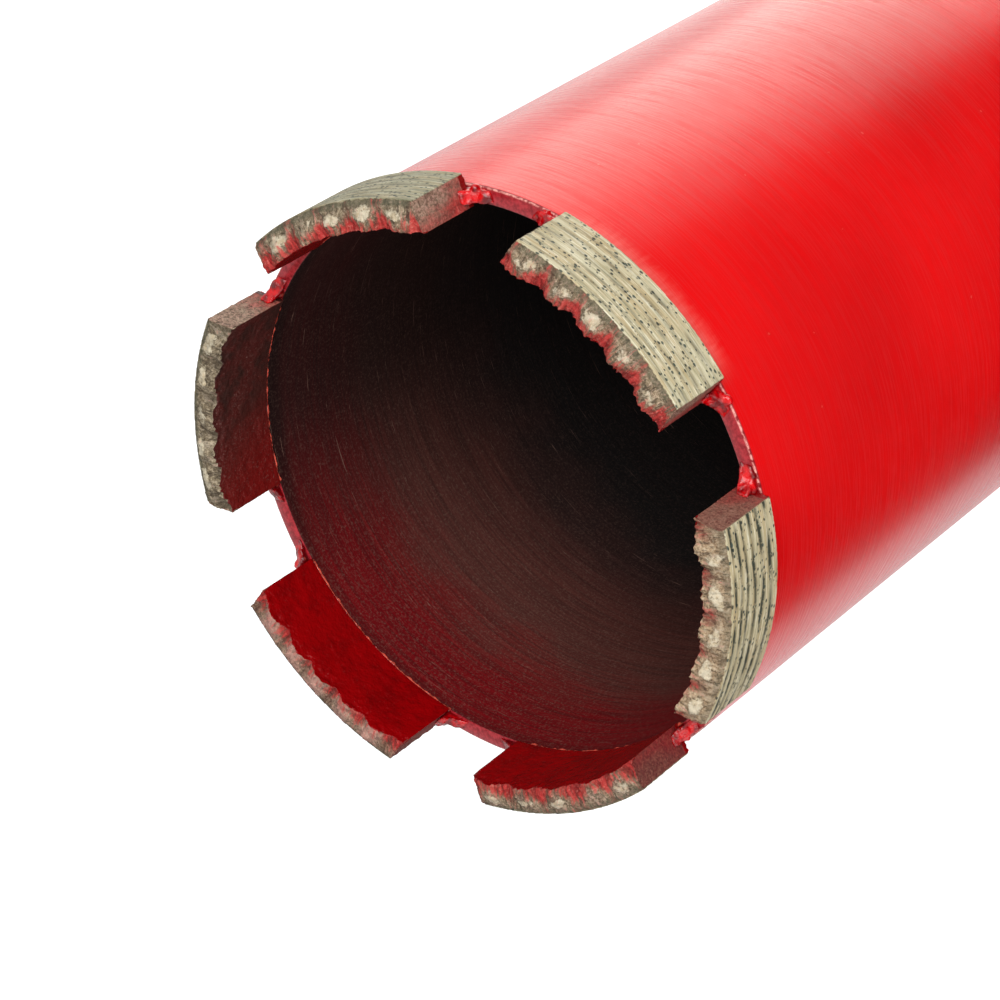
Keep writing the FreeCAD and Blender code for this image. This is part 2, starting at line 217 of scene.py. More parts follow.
def cut_off(place, outwards):
    """Cut away what lies beyond a plane and close the cut, in edit mode."""
    bpy.ops.mesh.select_all(action="SELECT")
    bpy.ops.mesh.bisect(plane_co=place, plane_no=outwards, use_fill=True, clear_outer=True,
                        threshold=1e-7)


def smooth(piece, degrees=None):
    """Shade the piece smooth, with edges sharper than the angle kept where one is given."""
    take(piece)
    if degrees is None:
        bpy.ops.object.shade_smooth()
    else:
        bpy.ops.object.shade_smooth_by_angle(angle=math.radians(degrees))


def turned(name, points, steps):
    """An outline spun once round the axis."""
    piece = drawn(name, points)
    bpy.ops.mesh.spin(steps=steps, angle=math.tau, center=(0, 0, 0), axis=(0, 0, 1))
    close_shell()
    return piece


def cad_copy(node, name):
    """A merged copy of a CAD node's mesh, as an object of its own."""
    settle()
    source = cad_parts[node]
    piece = bpy.data.objects.new(name, source.data.copy())
    piece.data.name = name
    bpy.context.scene.collection.objects.link(piece)
    piece.data.materials.clear()
    edit(piece)
    bpy.ops.mesh.customdata_custom_splitnormals_clear()
    bpy.ops.mesh.remove_doubles(threshold=2e-6)
    bpy.ops.object.mode_set(mode="OBJECT")
    return piece


def add_ball(millimetres, place, stretch):
    """A ball of filler, left selected and active."""
    settle()
    bpy.ops.mesh.primitive_uv_sphere_add(segments=20, ring_count=12, radius=millimetres * MM,
                                         location=[x * MM for x in place], scale=stretch)
    return bpy.context.object


def apply(piece, kind, **settings):
    """Add one modifier and apply it."""
    take(piece)
    modifier = piece.modifiers.new(kind.title(), kind)
    for key, value in settings.items():
        setattr(modifier, key, value)
    bpy.ops.object.modifier_apply(modifier=modifier.name)


def even_mesh(piece, voxel):
    """Mesh a closed piece anew with edges of one length, so that it can be sculpted."""
    apply(piece, "REMESH", mode="VOXEL", voxel_size=voxel, adaptivity=0.0)


def places(piece):
    """Vertex places in millimetres, one row each."""
    flat = np.zeros(len(piece.data.vertices) * 3)
    piece.data.vertices.foreach_get("co", flat)
    return flat.reshape(-1, 3) / MM


def directions(piece):
    """Vertex normals, one row each."""
    flat = np.zeros(len(piece.data.vertices) * 3)
    piece.data.vertex_normals.foreach_get("vector", flat)
    return flat.reshape(-1, 3)


def weigh(piece, name, weights):
    """A vertex group from an array of weights, in steps of a hundredth."""
    group = piece.vertex_groups.new(name=name)
    steps = np.rint(np.clip(weights, 0, 1) * 100).astype(int)
    for step_value in np.unique(steps[steps > 0]):
        group.add(np.nonzero(steps == step_value)[0].tolist(), step_value / 100, "REPLACE")


def note_masks(piece, name, *channels):
    """Up to three masks as one colour attribute that the materials read."""
    values = np.ones((len(piece.data.vertices), 4), np.float32)
    values[:, :3] = 0
    for i, channel in enumerate(channels):
        values[:, i] = np.clip(channel, 0, 1)
    attribute = piece.data.attributes.new(name, "FLOAT_COLOR", "POINT")
    attribute.data.foreach_set("color", values.ravel())


def clouds(name, size, depth=2, kind="SOFT_NOISE"):
    """A cloud texture of the given lump size in metres, made once."""
    texture = bpy.data.textures.get(name)
    if texture is None:
        texture = bpy.data.textures.new(name, "CLOUDS")
        texture.noise_scale = size
        texture.noise_depth = depth
        texture.noise_type = kind
    return texture


def push(piece, texture, strength, group="", middle=0.5):
    """Displace by a texture that stands still on the whole bit, strength in millimetres."""
    apply(piece, "DISPLACE", texture=texture, texture_coords="GLOBAL", strength=strength * MM,
          mid_level=middle, vertex_group=group)


def step(low, high, x):
    """0 below low, 1 above high, smooth between them; the other way round if low is above."""
    share = np.clip((x - low) / (high - low), 0, 1)
    return share * share * (3 - 2 * share)


def wander(draws, x, reach, amplitude):
    """A smooth seeded wave along x, with features about reach long."""
    total = np.zeros_like(x)
    for _ in range(4):
        total += math.sqrt(0.5) * np.sin(
            x * math.tau / (reach * draws.uniform(0.7, 1.6)) + draws.uniform(0, math.tau))
    return total * amplitude / 2


def dress(piece, material, slot_name, *nodes):
    """Give a finished piece its material, hide the CAD nodes it stands for and hang it under the root;
    slot_name is not used.
    """
    piece.data.materials.clear()
    piece.data.materials.append(material)
    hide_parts(*nodes)
    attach(piece, "root")


# node helpers

class Wiring:
    """Adds nodes to one tree and joins them."""

    def __init__(self, tree):
        self.tree = tree
        self.count = 0

    def node(self, kind, inputs=None, **settings):
        made = self.tree.nodes.new(kind)
        made.location = (240 * (self.count // 5), -220 * (self.count % 5))
        self.count += 1
        for key, value in settings.items():
            setattr(made, key, value)
        for key, value in (inputs or {}).items():
            self.put(made.inputs[key], value)
        return made

    def put(self, socket, value):
        """Join a socket to another, or set its value; a colour may have three channels."""
        if isinstance(value, bpy.types.NodeSocket):
            self.tree.links.new(value, socket)
        elif socket.type == "RGBA" and len(value) == 3:
            socket.default_value = (*value, 1)
        else:
            socket.default_value = value

    def fill(self, node, **inputs):
        """Put values into a node's sockets, named with underscores for their spaces."""
        for key, value in inputs.items():
            self.put(node.inputs[key.replace("_", " ")], value)

    def math(self, operation, *values, clamp=False):
        made = self.node("ShaderNodeMath", dict(enumerate(values)), operation=operation)
        made.use_clamp = clamp
        return made.outputs[0]

    def times(self, first, *others, clamp=False):
        product = first
        for other in others:
            product = self.math("MULTIPLY", product, other, clamp=clamp)
        return product

    def plus(self, first, second):
        return self.math("ADD", first, second)

    def minus(self, first, second):
        return self.math("SUBTRACT", first, second)

    def mix(self, share, first, second, blend="MIX"):
        made = self.node("ShaderNodeMix", {0: share, 6: first, 7: second},
                         data_type="RGBA", blend_type=blend)
        return made.outputs[2]

    def tint(self, under, mask, strength, over, blend="MIX"):
        """One colour laid over another where the mask is, at the given strength."""
        return self.mix(self.times(mask, strength), under, over, blend)

    def blend(self, share, first, second):
        """A number between two numbers."""
        return self.node("ShaderNodeMix", {0: share, 2: first, 3: second}).outputs[0]

    def ramp(self, value, low, high):
        """0 at low and 1 at high, smooth between them."""
        made = self.node("ShaderNodeMapRange", {0: value, 1: low, 2: high},
                         interpolation_type="SMOOTHSTEP")
        return made.outputs[0]

    def noise(self, vector, scale, detail=2.0, roughness=0.5, distortion=0.0):
        made = self.node("ShaderNodeTexNoise", {
            "Vector": vector, "Scale": scale, "Detail": detail, "Roughness": roughness,
            "Distortion": distortion})
        return made.outputs[0]

    def scaled(self, vector, x, y, z):
        made = self.node("ShaderNodeMapping", {"Vector": vector, "Scale": (x, y, z)})
        return made.outputs[0]

    def bump(self, height, distance, strength=1.0):
        made = self.node("ShaderNodeBump", {"Height": height, "Distance": distance,
                                            "Strength": strength})
        return made.outputs[0]

    def masks(self, name):
        """The three channels of a piece's own mask attribute."""
        attribute = self.node("ShaderNodeAttribute", attribute_name=name)
        split = self.node("ShaderNodeSeparateColor", {0: attribute.outputs["Color"]})
        return split.outputs[0], split.outputs[1], split.outputs[2]

    def group(self, tree, **inputs):
        made = self.node("ShaderNodeGroup", node_tree=tree)
        self.fill(made, **inputs)
        return made.outputs


FLOAT = "NodeSocketFloat"
VECTOR = "NodeSocketVector"


def shader_group(name, inputs, outputs):
    """A new shader node group with named sockets: its wiring, input node and output node."""
    tree = bpy.data.node_groups.new(name, "ShaderNodeTree")
    for label, kind, default in inputs:
        socket = tree.interface.new_socket(label, in_out="INPUT", socket_type=kind)
        if default is not None:
            socket.default_value = default
    for label, kind in outputs:
        tree.interface.new_socket(label, in_out="OUTPUT", socket_type=kind)
    wiring = Wiring(tree)
    start = wiring.node("NodeGroupInput")
    end = wiring.node("NodeGroupOutput")
    return wiring, start, end


def bit_place_group():
    """Where a point is on the bit, in millimetres: along the circle, height and radius."""
    name = "place on the bit"
    if name in bpy.data.node_groups:
        return bpy.data.node_groups[name]
    w, start, end = shader_group(
        name, [("Circle Radius", FLOAT, 36.2)],
        [("Around", FLOAT), ("Height", FLOAT), ("Radius", FLOAT), ("Flat", VECTOR),
         ("Solid", VECTOR)])
    place = w.node("ShaderNodeTexCoord").outputs["Object"]
    solid = w.node("ShaderNodeVectorMath", {0: place, "Scale": 1 / MM},
                   operation="SCALE").outputs[0]
    # The seam of the unrolled view lies in the gap at 150 degrees.
    turn = w.node("ShaderNodeVectorRotate", {"Vector": solid, "Angle": math.radians(30)},
                  rotation_type="Z_AXIS").outputs[0]
    x, y, z = w.node("ShaderNodeSeparateXYZ", {0: turn}).outputs
    around = w.times(w.math("ARCTAN2", y, x), start.outputs[0])
    radius = w.math("SQRT", w.plus(w.times(x, x), w.times(y, y)))
    flat = w.node("ShaderNodeCombineXYZ", {0: around, 1: z}).outputs[0]
    w.fill(end, Around=around, Height=z, Radius=radius, Flat=flat, Solid=solid)
    return w.tree


def turning_group():
    """Fine marks of the lathe: long round the piece, thin along the axis."""
    name = "turning marks"
    if name in bpy.data.node_groups:
        return bpy.data.node_groups[name]
    w, start, end = shader_group(
        name, [("Solid", VECTOR, None), ("Reach", FLOAT, 9.0), ("Width", FLOAT, 0.16)],
        [("Marks", FLOAT), ("Bands", FLOAT)])
    solid, reach, width = start.outputs[:3]
    along = w.math("DIVIDE", 1.0, reach)
    thin = w.math("DIVIDE", 1.0, width)
    scale = w.node("ShaderNodeCombineXYZ", {0: along, 1: along, 2: thin}).outputs[0]
    stretched = w.node("ShaderNodeVectorMath", {0: solid, 1: scale},
                       operation="MULTIPLY").outputs[0]
    wide = w.node("ShaderNodeVectorMath", {0: stretched, 1: (0.35, 0.35, 0.12)},
                  operation="MULTIPLY").outputs[0]
    w.fill(end, Marks=w.ramp(w.noise(stretched, 1.0, 3.0, 0.6), 0.3, 0.7),
           Bands=w.ramp(w.noise(wide, 1.0, 2.0, 0.5), 0.3, 0.7))
    return w.tree


def speck_group():
    """Scattered round specks: one to a cell, in a share of the cells."""
    name = "scattered specks"
    if name in bpy.data.node_groups:
        return bpy.data.node_groups[name]
    w, start, end = shader_group(
        name,
        [("Vector", VECTOR, None), ("Cell", FLOAT, 1.0), ("Share", FLOAT, 0.4),
         ("Size", FLOAT, 0.2)],
        [("Specks", FLOAT), ("Tone", FLOAT)])
    vector, cell, share, size = start.outputs[:4]
    cells = w.node("ShaderNodeTexVoronoi",
                   {"Vector": vector, "Scale": w.math("DIVIDE", 1.0, cell)},
                   voronoi_dimensions="3D")
    split = w.node("ShaderNodeSeparateColor", {0: cells.outputs["Color"]})
    chosen = w.math("LESS_THAN", split.outputs[0], share)
    ragged = w.times(w.minus(w.noise(vector, 4.0, 2.0), 0.5), 0.3)
    reach = w.times(size, w.plus(split.outputs[1], 0.35))
    inside = w.ramp(w.plus(cells.outputs["Distance"], ragged), reach, w.times(reach, 0.55))
    w.fill(end, Specks=w.times(inside, chosen), Tone=split.outputs[2])
    return w.tree


def new_material(name):
    """An empty material with its Principled shader: the material, its wiring and the shader."""
    material = bpy.data.materials.new(name)
    material.use_nodes = True
    material.node_tree.nodes.clear()
    wiring = Wiring(material.node_tree)
    shader = wiring.node("ShaderNodeBsdfPrincipled")
    out = wiring.node("ShaderNodeOutputMaterial")
    wiring.tree.links.new(shader.outputs[0], out.inputs["Surface"])
    return material, wiring, shader


def once(name, make):
    """The material of that name, made the first time it is asked for."""
    return bpy.data.materials.get(name) or make(name)


# finishes of the barrel

def tube_paint(w, s, place, lines):
    """Red paint with faint turned lines, a few specks and haze beside one segment."""
    rim, solid = s.rim / MM, place["Solid"]
    specks = w.group(speck_group(), Vector=solid, Cell=2.4, Share=0.12, Size=0.06)
    cloud = w.noise(solid, 0.02, 2.0)
    paint = w.mix(w.ramp(cloud, 0.3, 0.8), s.paint, s.deep_paint)
    paint = w.tint(paint, lines["Marks"], 0.06, s.deep_paint)
    paint = w.tint(paint, specks["Specks"], 0.6, linear(240, 120, 108))
    # A pale pink haze lies on the tube at the foot of the sixth segment.
    beside = w.math("ABSOLUTE", w.plus(place["Around"], 18.3))
    ragged = w.times(w.noise(w.scaled(solid, 1.0, 1.0, 0.25), 1.4, 4.0, 0.6), 3.0)
    near = w.ramp(w.plus(place["Height"], ragged), rim - 2.4, rim + 1.6)
    haze = w.times(near, w.ramp(beside, 13.5, 8.0))
    return w.tint(paint, haze, 0.55, linear(244, 128, 118))


def rim_paint(w, s, place, paint, on_rim):
    """Dull paint on the flat of the rim, with a painted highlight as a bright broken line on its edges.
    """
    outer, inner, rim = s.outer_radius / MM, s.inner_radius / MM, s.rim / MM
    height, radius = place["Height"], place["Radius"]
    rough = w.noise(place["Solid"], 1.6, 5.0, 0.7)
    dull = w.mix(w.ramp(rough, 0.35, 0.65), linear(128, 12, 22), linear(176, 44, 52))
    paint = w.mix(on_rim, paint, dull)
    # Painted highlight: a bright broken line where light would catch the bevels of the rim.
    outer_edge = w.ramp(w.plus(radius, height), outer + rim - 0.28, outer + rim - 0.2)
    inner_edge = w.ramp(w.minus(height, radius), rim - inner - 0.22, rim - inner - 0.14)
    wear_and_highlight = w.times(outer_edge, w.ramp(rough, 0.4, 0.58))
    wear_and_highlight = w.plus(wear_and_highlight, w.times(inner_edge, 0.35, w.ramp(rough, 0.45, 0.6)))
    return w.mix(wear_and_highlight, paint, linear(232, 164, 152))


def bore_surface(w, s, place, scratches):
    """Painted shade in a dark band at the rim, then a red mist, then dusty steel: its colour, and the
    dust on it.
    """
    solid = place["Solid"]
    depth = w.minus(s.rim / MM, place["Height"])
    ragged = w.times(w.minus(w.noise(solid, 0.12, 4.0), 0.5), 16.0)
    uneven = w.plus(depth, ragged)
    bore = w.mix(w.ramp(uneven, 6.0, 22.0), s.bore_paint, s.bore_dust)
    # Only the side under the third and fourth segments caught the red mist, and that side is lit; the
    # other side is painted dark, partly its bare colour and partly painted shade.
    x, y, _ = w.node("ShaderNodeSeparateXYZ", {0: solid}).outputs
    misted_and_lit = w.ramp(w.minus(w.times(y, 0.35), x), -4.0, 26.0)
    bore = w.mix(w.blend(misted_and_lit, 0.88, 0.0), bore, linear(27, 19, 18))
    bore = w.mix(w.ramp(uneven, 24.0, 50.0), bore, s.bore_steel)
    # Painted shade: a dark band just inside the rim, under the segments, heaviest on the side away from
    # the light.
    painted_rim_shade = w.ramp(depth, w.blend(misted_and_lit, 3.6, 1.8), w.blend(misted_and_lit, 1.0, 0.2))
    bore = w.tint(bore, painted_rim_shade, w.blend(misted_and_lit, 0.85, 0.4), linear(24, 10, 10))
    bore = w.tint(bore, scratches["Marks"], 0.5, linear(24, 16, 16))
    fine = w.noise(solid, 3.4, 6.0, 0.8)
    dust = w.times(w.ramp(fine, 0.48, 0.68), w.blend(misted_and_lit, 0.5, 1.0))
    fading = w.blend(w.ramp(depth, 18.0, 60.0), 0.4, 0.16)
    bore = w.tint(bore, dust, fading, linear(132, 104, 92))
    hair = w.noise(w.scaled(solid, 0.16, 0.16, 4.5), 1.0, 5.0, 0.7, 0.4)
    bore = w.tint(bore, w.ramp(hair, 0.63, 0.69), 0.5, linear(150, 118, 104))
    return bore, dust


def barrel_finish(name):
    """Gloss red over turned steel outside; thin dark overspray and bare steel in the bore."""
    s = bpy.context.scene.bit_barrel
    inner, rim = s.inner_radius / MM, s.rim / MM
    material, w, shader = new_material(name)
    place = w.group(bit_place_group(), Circle_Radius=35.0)
    lines = w.group(turning_group(), Solid=place["Solid"], Reach=9.0, Width=0.17)
    scratches = w.group(turning_group(), Solid=place["Solid"], Reach=14.0, Width=0.3)
    on_rim = w.ramp(place["Height"], rim - 0.4, rim - 0.25)
    in_bore = w.ramp(place["Radius"], inner + 0.2, inner + 0.08)
    paint = rim_paint(w, s, place, tube_paint(w, s, place, lines), on_rim)
    bore, dust = bore_surface(w, s, place, scratches)

    gloss = w.plus(0.2, w.times(lines["Marks"], 0.12))
    # The clear film is thin over the turned marks, so they stay dark in a highlight.
    film = w.minus(0.5, w.times(w.ramp(lines["Marks"], 0.42, 0.15), 0.4))
    relief = w.plus(lines["Marks"], w.times(lines["Bands"], 1.2))
    bore_relief = w.plus(scratches["Marks"], dust)
    w.fill(shader, Base_Color=w.mix(in_bore, paint, bore),
           Roughness=w.blend(in_bore, gloss, 0.6), Specular_IOR_Level=0.1,
           Coat_Weight=w.blend(in_bore, w.blend(on_rim, film, 1.0), 0.0),
           Coat_Roughness=0.25, Coat_IOR=1.33,
           Normal=w.bump(w.blend(in_bore, relief, bore_relief), 0.009 * MM))
    return material


# finish of the braze

def braze_finish(name):
    """Wet paint that has run over lumpy braze."""
    s = bpy.context.scene.bit_braze
    bore = bpy.context.scene.bit_barrel.inner_radius / MM
    material, w, shader = new_material(name)
    place = w.group(bit_place_group())
    radius, solid = place["Radius"], place["Solid"]
    cloud = w.ramp(w.noise(solid, 0.9, 3.0), 0.35, 0.65)
    specks = w.group(speck_group(), Vector=solid, Cell=0.8, Share=0.06, Size=0.2)
    paint = w.mix(cloud, s.paint, s.deep_paint)
    # Inside the bore the film is dark, with a painted highlight as a thin pale line where it meets the
    # tube.
    paint = w.mix(w.ramp(radius, bore + 0.5, bore + 0.15), paint, linear(88, 4, 8))
    lip_and_root_highlight = w.times(w.ramp(radius, bore + 0.2, bore + 0.02),
                  w.ramp(w.noise(solid, 0.8, 4.0, 0.6), 0.32, 0.54))
    paint = w.tint(paint, lip_and_root_highlight, 0.9, linear(236, 98, 78))
    paint = w.tint(paint, specks["Specks"], 0.8, linear(236, 176, 160))
    w.fill(shader, Base_Color=paint, Roughness=w.blend(cloud, 0.08, 0.18),
           Specular_IOR_Level=0.45,
           Normal=w.bump(w.noise(solid, 1.8, 4.0, 0.6), 0.12 * MM))
    return material


# finish of the segments

def bond_surface(w):
    """The places, masks and noises that the layers of the bond share."""
    place = w.group(bit_place_group(), Circle_Radius=36.2)
    n = SimpleNamespace(radius=place["Radius"], solid=place["Solid"], flat=place["Flat"])
    n.outer, n.crown, n.stain = w.masks("face_masks")
    n.crest, n.overspray, n.pink = w.masks("crown_masks")
    n.groove, n.dusty, n.valley = w.masks("wear_masks")
    n.shade, n.tone, n.burnt = w.masks("tone_masks")
    n.rough = w.noise(n.solid, 1.3, 6.0, 0.75)
    n.speckle = w.noise(n.solid, 3.2, 5.0, 0.75)
    n.grit = w.group(speck_group(), Vector=w.scaled(n.flat, 0.8, 1.15, 1.0), Cell=0.5,
                     Share=0.9, Size=0.36)
    n.sockets = w.group(speck_group(), Vector=n.solid, Cell=0.5, Share=0.35, Size=0.5)["Specks"]
    # Streaks run across the wall of the segment, and thin ones along its ground face.
    run = w.node("ShaderNodeCombineXYZ", {0: w.times(place["Around"], 2.4),
                                          1: w.times(n.radius, 0.45),
                                          2: w.times(place["Height"], 0.45)}).outputs[0]
    n.streak = w.noise(run, 1.0, 5.0, 0.65)
    n.lined = w.times(w.ramp(n.streak, 0.46, 0.36), n.crown)
    n.thin = w.noise(w.scaled(n.flat, 0.22, 4.0, 1.0), 1.0, 4.0, 0.7)
    lumpy = w.plus(w.noise(n.solid, 0.9, 3.0, 0.6), w.times(n.speckle, 0.5))
    n.patch = w.ramp(w.plus(n.crest, lumpy), 0.95, 1.5)
    return n


def granular_bond(w, s, n):
    """Bond of the crown and the ends: dark or sandy, streaked across the wall."""
    bond = w.mix(n.tone, s.dark_bond, s.bond)
    bond = w.tint(bond, w.ramp(n.rough, 0.5, 0.36), 0.75, linear(116, 104, 96), "MULTIPLY")
    bond = w.tint(bond, w.ramp(n.rough, 0.52, 0.64), 0.5, linear(208, 190, 162))
    bond = w.tint(bond, w.ramp(n.speckle, 0.5, 0.62), 0.5, linear(216, 200, 172))
    bond = w.tint(bond, w.ramp(n.speckle, 0.48, 0.38), 0.6, linear(56, 46, 36))
    streaked = w.times(w.ramp(n.streak, 0.52, 0.64), n.crown)
    bond = w.tint(bond, streaked, 0.45, linear(206, 192, 170))
    bond = w.tint(bond, n.lined, 0.7, linear(56, 44, 36))
    # A darker olive band along the outer edge of the crown.
    lip_and_root_highlight = w.times(w.ramp(n.radius, 35.2, 35.75), n.crown)
    return w.tint(bond, lip_and_root_highlight, w.blend(n.tone, 0.8, 0.3), linear(84, 84, 66))


def worn_crests(w, s, n, bond):
    """Bright pebbles rubbed bare on the crests, pitted, with dark outlines that are partly cracks and
    partly painted shade.
    """
    # Dark outlines in the moats round the pebbles: partly cracks, partly painted shade.
    rimmed = w.times(w.times(n.patch, w.minus(1.0, n.patch)), 2.4, clamp=True)
    bright = w.mix(w.ramp(n.rough, 0.38, 0.56), linear(196, 178, 146), s.crest)
    pits = w.ramp(w.noise(n.solid, 1.9, 3.0, 0.6), 0.42, 0.34)
    bright = w.tint(bright, pits, 0.7, linear(112, 96, 70))
    bond = w.tint(bond, rimmed, 0.55, linear(70, 62, 46))
    return w.tint(bond, w.ramp(n.patch, 0.35, 0.9), 0.85, bright)


def paint_dust(w, s, n, bond):
    """Pale pink dust on the ridges, painted shade and red paint in the hollows, red in streaks from the
    bore, burnt ends.
    """
    pink_share = w.ramp(w.plus(n.pink, w.minus(n.speckle, 0.5)), 0.2, 0.75)
    dusted = w.tint(bond, pink_share, 0.75, s.pink)
    # Painted shade in the hollows between the ridges: dark olive, turning dark red where overspray has
    # collected.
    reddened = w.mix(w.ramp(w.plus(n.overspray, n.pink), 0.1, 0.5), linear(60, 48, 38),
                     linear(104, 18, 24))
    dusted = w.tint(dusted, w.times(n.valley, n.crown), 0.65, reddened)
    streaky = w.times(w.minus(n.streak, 0.5), w.blend(n.crown, 0.3, 1.9))
    uneven = w.plus(streaky, w.times(w.minus(n.speckle, 0.5), 0.7))
    red_share = w.ramp(w.plus(n.overspray, uneven), 0.25, 0.75)
    red = w.mix(w.ramp(n.streak, 0.42, 0.58), linear(128, 8, 14), s.overspray)
    red = w.tint(red, w.ramp(n.speckle, 0.54, 0.66), 0.4, linear(222, 132, 118))
    dusted = w.tint(dusted, red_share, 0.85, red)
    burn = w.mix(w.ramp(n.speckle, 0.46, 0.62), linear(92, 24, 26), linear(116, 58, 44))
    burn = w.tint(burn, red_share, 0.45, linear(140, 22, 28))
    return w.tint(dusted, n.burnt, 0.95, burn)


def ground_face(w, s, n):
    """Ground outer face: pale streaks, dark filled grooves, grit and painted shade on some segments."""
    streaks = w.noise(w.scaled(n.flat, 0.12, 1.3, 1.0), 1.0, 4.0, 0.6)
    ground = w.mix(w.ramp(streaks, 0.38, 0.66), s.ground, s.tan)
    ground = w.tint(ground, n.tone, 0.5, s.tan)
    ground = w.tint(ground, w.ramp(n.thin, 0.5, 0.64), 0.65, linear(140, 134, 100))
    ground = w.tint(ground, w.ramp(n.thin, 0.46, 0.36), 0.75, linear(236, 230, 206))
    # Painted shade: the shade mask darkens the whole outer face of some segments towards greenish grey.
    shaded = w.blend(w.ramp(n.thin, 0.42, 0.62), 0.35, 0.85)
    ground = w.tint(ground, n.shade, shaded, linear(104, 108, 84))
    in_groove = w.times(n.groove, w.ramp(n.rough, 0.3, 0.5))
    ground = w.mix(w.times(in_groove, 1.5, clamp=True), ground, linear(60, 62, 50))
    grit = w.mix(n.grit["Tone"], s.grit, linear(30, 40, 38))
    return w.tint(ground, n.grit["Specks"], 0.92, grit)


def inner_film(w, s, n):
    """Wet paint on the inner face, dirty and dusty on some segments."""
    cloud = w.noise(n.solid, 0.3, 4.0, 0.65)
    film = w.mix(w.ramp(cloud, 0.35, 0.75), s.film, linear(122, 0, 4))
    dirty = w.times(n.dusty, w.blend(w.ramp(cloud, 0.36, 0.62), 1.0, 0.82))
    film = w.tint(film, dirty, 0.96, linear(40, 28, 23))
    fine = w.noise(n.solid, 4.5, 6.0, 0.8)
    dust = w.times(n.dusty, w.times(w.ramp(fine, 0.55, 0.67), w.ramp(cloud, 0.4, 0.58)))
    return w.tint(film, dust, 0.7, linear(164, 130, 120))


def bond_finish(name):
    """Sintered bond: ground outside, granular on the crown and ends, painted inside."""
    s = bpy.context.scene.bit_segments
    material, w, shader = new_material(name)
    n = bond_surface(w)
    bond = worn_crests(w, s, n, granular_bond(w, s, n))
    surface = w.mix(n.outer, paint_dust(w, s, n, bond), ground_face(w, s, n))
    edge = w.times(w.minus(w.noise(n.solid, 0.8, 3.0), 0.5), 0.5)
    filmed = w.ramp(w.plus(n.stain, edge), 0.42, 0.58)
    surface = w.mix(filmed, surface, inner_film(w, s, n))

    dull = w.blend(n.outer, 0.75, 0.58)
    dull = w.blend(w.times(n.patch, n.crown), dull, 0.5)
    coarse = w.minus(w.noise(n.solid, 3.2, 4.0, 0.65), w.times(n.sockets, 0.25))
    coarse = w.minus(coarse, w.times(n.lined, 0.2))
    # Bump relief of the ground face: its thin streaks and grit.
    wear_and_highlight = w.minus(w.times(n.thin, -0.25), w.times(n.grit["Specks"], 0.3))
    wet = w.times(w.noise(n.solid, 0.9, 4.0, 0.6), 1.5)
    relief = w.blend(filmed, w.blend(n.outer, coarse, wear_and_highlight), wet)
    w.fill(shader, Base_Color=surface,
           Roughness=w.blend(filmed, dull, w.blend(n.dusty, 0.14, 0.5)),
           Specular_IOR_Level=0.25, Normal=w.bump(relief, 0.22 * MM, 0.9))
    return material


# finish of the hub

def hub_finish(name):
    """Gloss red outside, bare machined steel in the thread, chips along the hexagon."""
    s = bpy.context.scene.bit_hub
    material, w, shader = new_material(name)
    place = w.group(bit_place_group())
    height, radius, solid = place["Height"], place["Radius"], place["Solid"]
    marks = w.group(turning_group(), Solid=solid, Reach=6.0, Width=0.12)["Marks"]
    cloud = w.ramp(w.noise(solid, 0.2, 3.0), 0.35, 0.65)
    paint = w.mix(cloud, s.paint, linear(168, 0, 6))
    corners = w.ramp(radius, 22.4, 23.6)
    chipped = w.ramp(w.plus(w.noise(solid, 0.8, 5.0, 0.7), w.times(corners, 0.16)), 0.66, 0.69)
    seat = w.times(w.ramp(height, 0.35, 0.1),
                   w.ramp(w.plus(radius, w.noise(solid, 0.6, 3.0)), 20.3, 19.9))
    in_thread = w.ramp(radius, 16.6, 16.4)
    bare = w.math("MAXIMUM", w.math("MAXIMUM", chipped, seat), in_thread)
    rust = w.ramp(w.noise(solid, 0.7, 5.0, 0.7), 0.55, 0.75)
    steel = w.tint(s.steel, marks, 0.5, linear(96, 92, 88))
    steel = w.tint(steel, rust, 0.5, linear(112, 74, 52))
    relief = w.plus(w.times(w.noise(solid, 0.9, 3.0), 0.6),
                    w.times(marks, w.times(bare, 0.2)))
    relief = w.minus(relief, w.times(chipped, 0.8))
    w.fill(shader, Base_Color=w.mix(bare, paint, steel), Metallic=bare,
           Roughness=w.blend(bare, w.blend(cloud, 0.22, 0.3), 0.38),
           Specular_IOR_Level=0.4, Normal=w.bump(relief, 0.06 * MM))
    return material


# barrel

def add_barrel():
    """The tube, with softened paint on the edges of its rim."""
    s = bpy.context.scene.bit_barrel
    outer, inner, rim, foot = s.outer_radius, s.inner_radius, s.rim, s.foot
    bevel, leg = s.rim_bevel, s.groove_leg
    round_off = 0.29 * bevel
    # Two rings of points beside each bevel keep the walls flat in the smooth shading.
    close, far = 1.4 * bevel, 12 * bevel
    outline = [
        (inner, foot), (outer - leg, foot), (outer, foot + leg),
        (outer, rim - far), (outer, rim - close), (outer, rim - bevel),
        (outer - round_off, rim - round_off), (outer - bevel, rim),
        (inner + bevel, rim), (inner + round_off, rim - round_off),
        (inner, rim - bevel), (inner, rim - close), (inner, rim - far),
    ]
    barrel = turned("barrel_tube", outline, s.facets)
    smooth(barrel, 40)
    dress(barrel, once("barrel paint", barrel_finish), "barrel_paint", "barrel")


# segments

